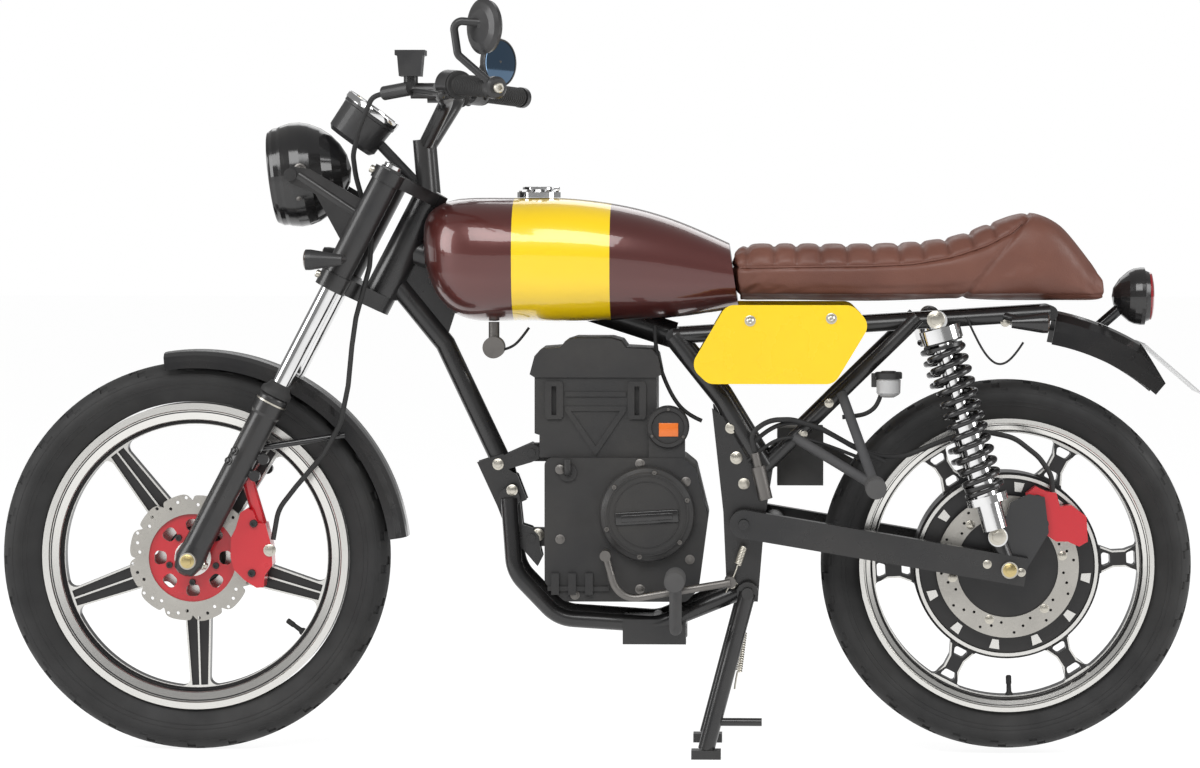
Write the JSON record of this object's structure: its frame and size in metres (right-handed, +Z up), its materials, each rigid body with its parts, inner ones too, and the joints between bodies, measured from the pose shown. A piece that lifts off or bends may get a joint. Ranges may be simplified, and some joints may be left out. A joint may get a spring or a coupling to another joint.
{
  "type": "cafe racer motorcycle",
  "caption": "Cafe racer motorcycle with an electric hub drive, parked on its centre stand; it steers, its wheels roll and its stand folds.",
  "frame": {"origin": "on the ground, under the middle of the bounding box", "axes": "+X forward, +Y to the rider's left, +Z up"},
  "size_m": [1.8826, 0.7976, 1.1686],
  "materials": {
    "tyre_rubber": "matt black tyre rubber",
    "front_wheel_paint": "gloss black with bright machined edges",
    "rear_wheel_paint": "gloss black with bright machined edges",
    "disc_steel": "worn brake disc steel",
    "carrier_red": "red anodised",
    "caliper_red": "gloss red",
    "frame_black": "satin black powder coat",
    "fork_chrome": "bright chrome",
    "fork_black": "satin black",
    "bolt_zinc": "zinc plated",
    "lamp_black": "gloss black",
    "lamp_glass": "clear",
    "gauge_black": "satin black",
    "grip_rubber": "matt ribbed rubber",
    "control_black": "satin black",
    "mirror_black": "satin black with blue tinted glass",
    "fender_black": "gloss black",
    "indicator_black": "black with smoked lens",
    "engine_black": "matt black casting",
    "tank_paint": "metallic dark maroon with a broad yellow band",
    "cap_chrome": "bright chrome",
    "seat_leather": "brown ribbed leather",
    "panel_yellow": "gloss yellow",
    "lock_metal": "worn casting",
    "tail_black": "gloss black with red lens",
    "plate_white": "blank plate",
    "box_black": "black finned box",
    "spring_black": "gloss black",
    "peg_rubber": "ribbed rubber",
    "pedal_steel": "worn black steel"
  },
  "bodies": {
    "chassis": {"frame_head": "frame_black", "frame_cradle": "frame_black", "frame_rear": "frame_black", "drive_housing": "engine_black", "fuel_tank": "tank_paint", "tank_cap": "cap_chrome", "seat": "seat_leather", "side_panels": "panel_yellow", "ignition_lock": "lock_metal", "rear_fender": "fender_black", "rear_lights": "tail_black", "number_plate": "plate_white", "control_box": "box_black", "swingarm": "frame_black", "shock_dampers": "fork_chrome", "shock_springs": "spring_black", "rear_axle": "bolt_zinc", "rear_caliper": "caliper_red", "rear_brake_hose": "grip_rubber", "foot_pegs": "peg_rubber", "brake_pedal": "pedal_steel"},
    "steering": {"fork_clamps": "fork_black", "fork_tubes": "fork_chrome", "fork_sliders": "fork_black", "fork_covers": "fork_black", "front_axle": "bolt_zinc", "headlight_shell": "lamp_black", "headlight_lens": "lamp_glass", "instrument": "gauge_black", "handlebar": "fork_black", "grips": "grip_rubber", "bar_controls": "control_black", "mirrors": "mirror_black", "front_fender": "fender_black", "front_caliper": "caliper_red", "front_brake_hose": "grip_rubber", "front_indicators": "indicator_black"},
    "front_wheel": {"front_tyre": "tyre_rubber", "front_rim": "front_wheel_paint", "disc_carrier": "carrier_red", "front_disc": "disc_steel"},
    "rear_wheel": {"rear_tyre": "tyre_rubber", "rear_rim": "rear_wheel_paint", "rear_disc": "disc_steel"},
    "stand": {"centre_stand": "frame_black"}
  },
  "joints": [
    {"name": "steering", "type": "hinge", "parent": "chassis", "child": "steering", "pos_m": [0.3048, 0, 0.792], "axis": [-0.4617, 0, 0.887], "range_deg": [-28, 28]},
    {"name": "front_wheel_spin", "type": "hinge", "parent": "steering", "child": "front_wheel", "pos_m": [0.6346, 0, 0.3065], "axis": [0, 1, 0], "continuous": true},
    {"name": "rear_wheel_spin", "type": "hinge", "parent": "chassis", "child": "rear_wheel", "pos_m": [-0.6406, 0, 0.2968], "axis": [0, 1, 0], "continuous": true},
    {"name": "centre_stand", "type": "hinge", "parent": "chassis", "child": "stand", "pos_m": [-0.236, 0, 0.258], "axis": [0, 1, 0], "range_deg": [0, 92]}
  ]
}
